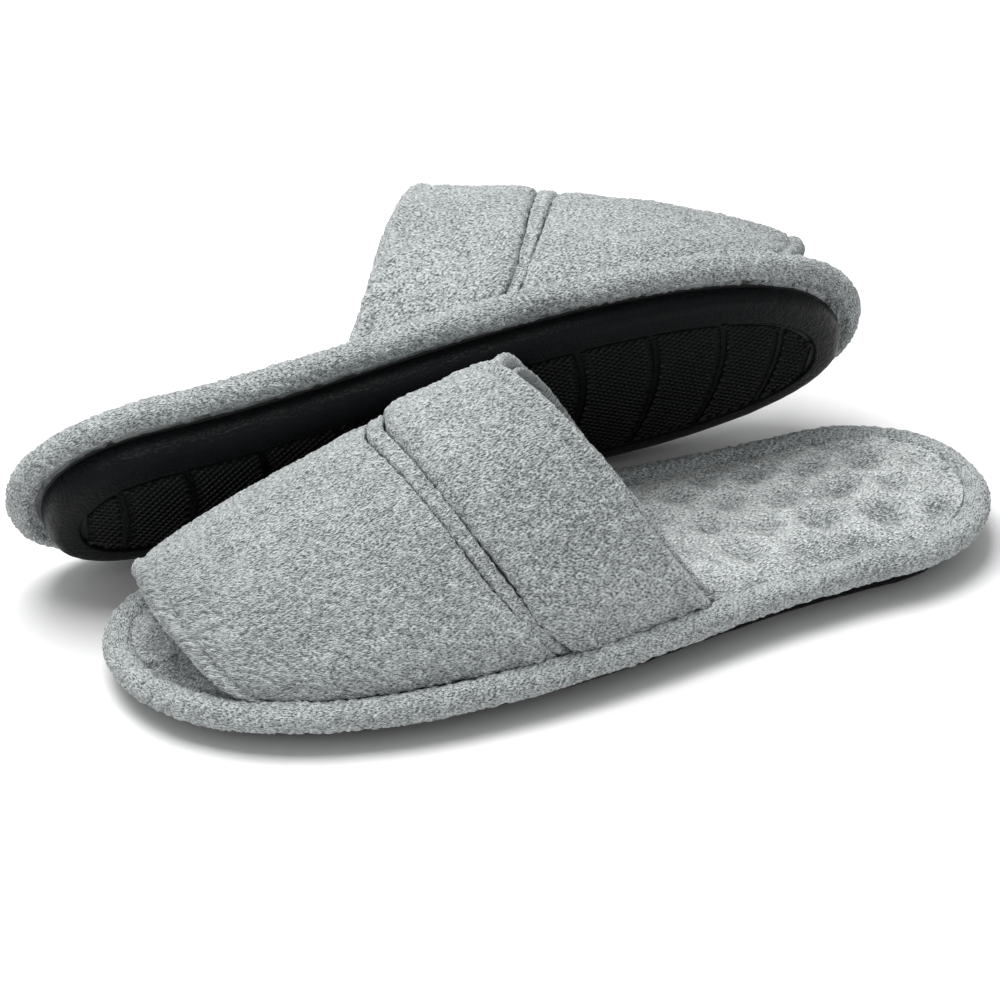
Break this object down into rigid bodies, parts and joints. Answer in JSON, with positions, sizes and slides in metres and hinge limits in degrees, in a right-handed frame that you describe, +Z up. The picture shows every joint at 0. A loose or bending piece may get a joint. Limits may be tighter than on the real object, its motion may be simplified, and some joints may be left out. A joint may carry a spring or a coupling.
{
  "type": "pair of slippers",
  "caption": "Pair of open-toe grey terry slide slippers with a banded upper, padded rim, cushioned footbed and black textured outsole; one lies flat, the other leans on it showing its sole.",
  "frame": {"origin": "on the floor under the middle of the left slipper, in the plane of its tread", "axes": "+X from the left slipper's toe to its heel, +Y towards the right slipper behind it, +Z up"},
  "size_m": [0.2901, 0.1781, 0.0986],
  "materials": {
    "upper_terry": "heather grey looped terry",
    "rim_terry": "heather grey looped terry, gathered round the roll",
    "footbed_terry": "heather grey looped terry over cushion foam",
    "lining": "flat knitted lining",
    "foam": "soft open-cell foam",
    "midsole_eva": "matt EVA sheet",
    "outsole_rubber": "black moulded rubber, leather grain on the wall and a fine lattice tread"
  },
  "bodies": {
    "left_heel_part": {"left_outsole_heel": "outsole_rubber", "left_midsole_heel": "midsole_eva", "left_footbed_foam_heel": "foam", "left_footbed_cover_heel": "footbed_terry", "left_rim_core_heel": "foam", "left_rim_wrap_heel": "rim_terry", "left_seam_strip": "upper_terry", "left_band_shell": "upper_terry", "left_band_foam": "foam", "left_band_lining": "lining", "left_collar_facing": "upper_terry"},
    "left_toe_part": {"left_outsole_toe": "outsole_rubber", "left_midsole_toe": "midsole_eva", "left_footbed_foam_toe": "foam", "left_footbed_cover_toe": "footbed_terry", "left_rim_core_toe": "foam", "left_rim_wrap_toe": "rim_terry", "left_vamp_shell": "upper_terry", "left_vamp_foam": "foam", "left_vamp_lining": "lining", "left_toe_hem": "upper_terry"},
    "right_heel_part": {"right_outsole_heel": "outsole_rubber", "right_midsole_heel": "midsole_eva", "right_footbed_foam_heel": "foam", "right_footbed_cover_heel": "footbed_terry", "right_rim_core_heel": "foam", "right_rim_wrap_heel": "rim_terry", "right_seam_strip": "upper_terry", "right_band_shell": "upper_terry", "right_band_foam": "foam", "right_band_lining": "lining", "right_collar_facing": "upper_terry"},
    "right_toe_part": {"right_outsole_toe": "outsole_rubber", "right_midsole_toe": "midsole_eva", "right_footbed_foam_toe": "foam", "right_footbed_cover_toe": "footbed_terry", "right_rim_core_toe": "foam", "right_rim_wrap_toe": "rim_terry", "right_vamp_shell": "upper_terry", "right_vamp_foam": "foam", "right_vamp_lining": "lining", "right_toe_hem": "upper_terry"}
  },
  "joints": [
    {"name": "left_toe_flex", "type": "hinge", "parent": "left_heel_part", "child": "left_toe_part", "pos_m": [-0.034, 0, 0.01671], "axis": [0, 1, 0], "range_deg": [0, 15], "stiffness_Nm_per_rad": 0.8, "springref_deg": -8.59, "deforming": ["left_vamp_shell", "left_vamp_foam", "left_vamp_lining"]},
    {"name": "right_lift", "type": "slide", "parent": "left_heel_part", "child": "right_heel_part", "axis": [0, 0, 1], "range_m": [0, 0.25]},
    {"name": "right_toe_flex", "type": "hinge", "parent": "right_heel_part", "child": "right_toe_part", "pos_m": [0.01888, 0.05977, 0.04831], "axis": [-0.0825, -0.5281, 0.8452], "range_deg": [0, 30], "stiffness_Nm_per_rad": 0.8, "springref_deg": -8.59, "deforming": ["right_vamp_shell", "right_vamp_foam", "right_vamp_lining"]}
  ]
}
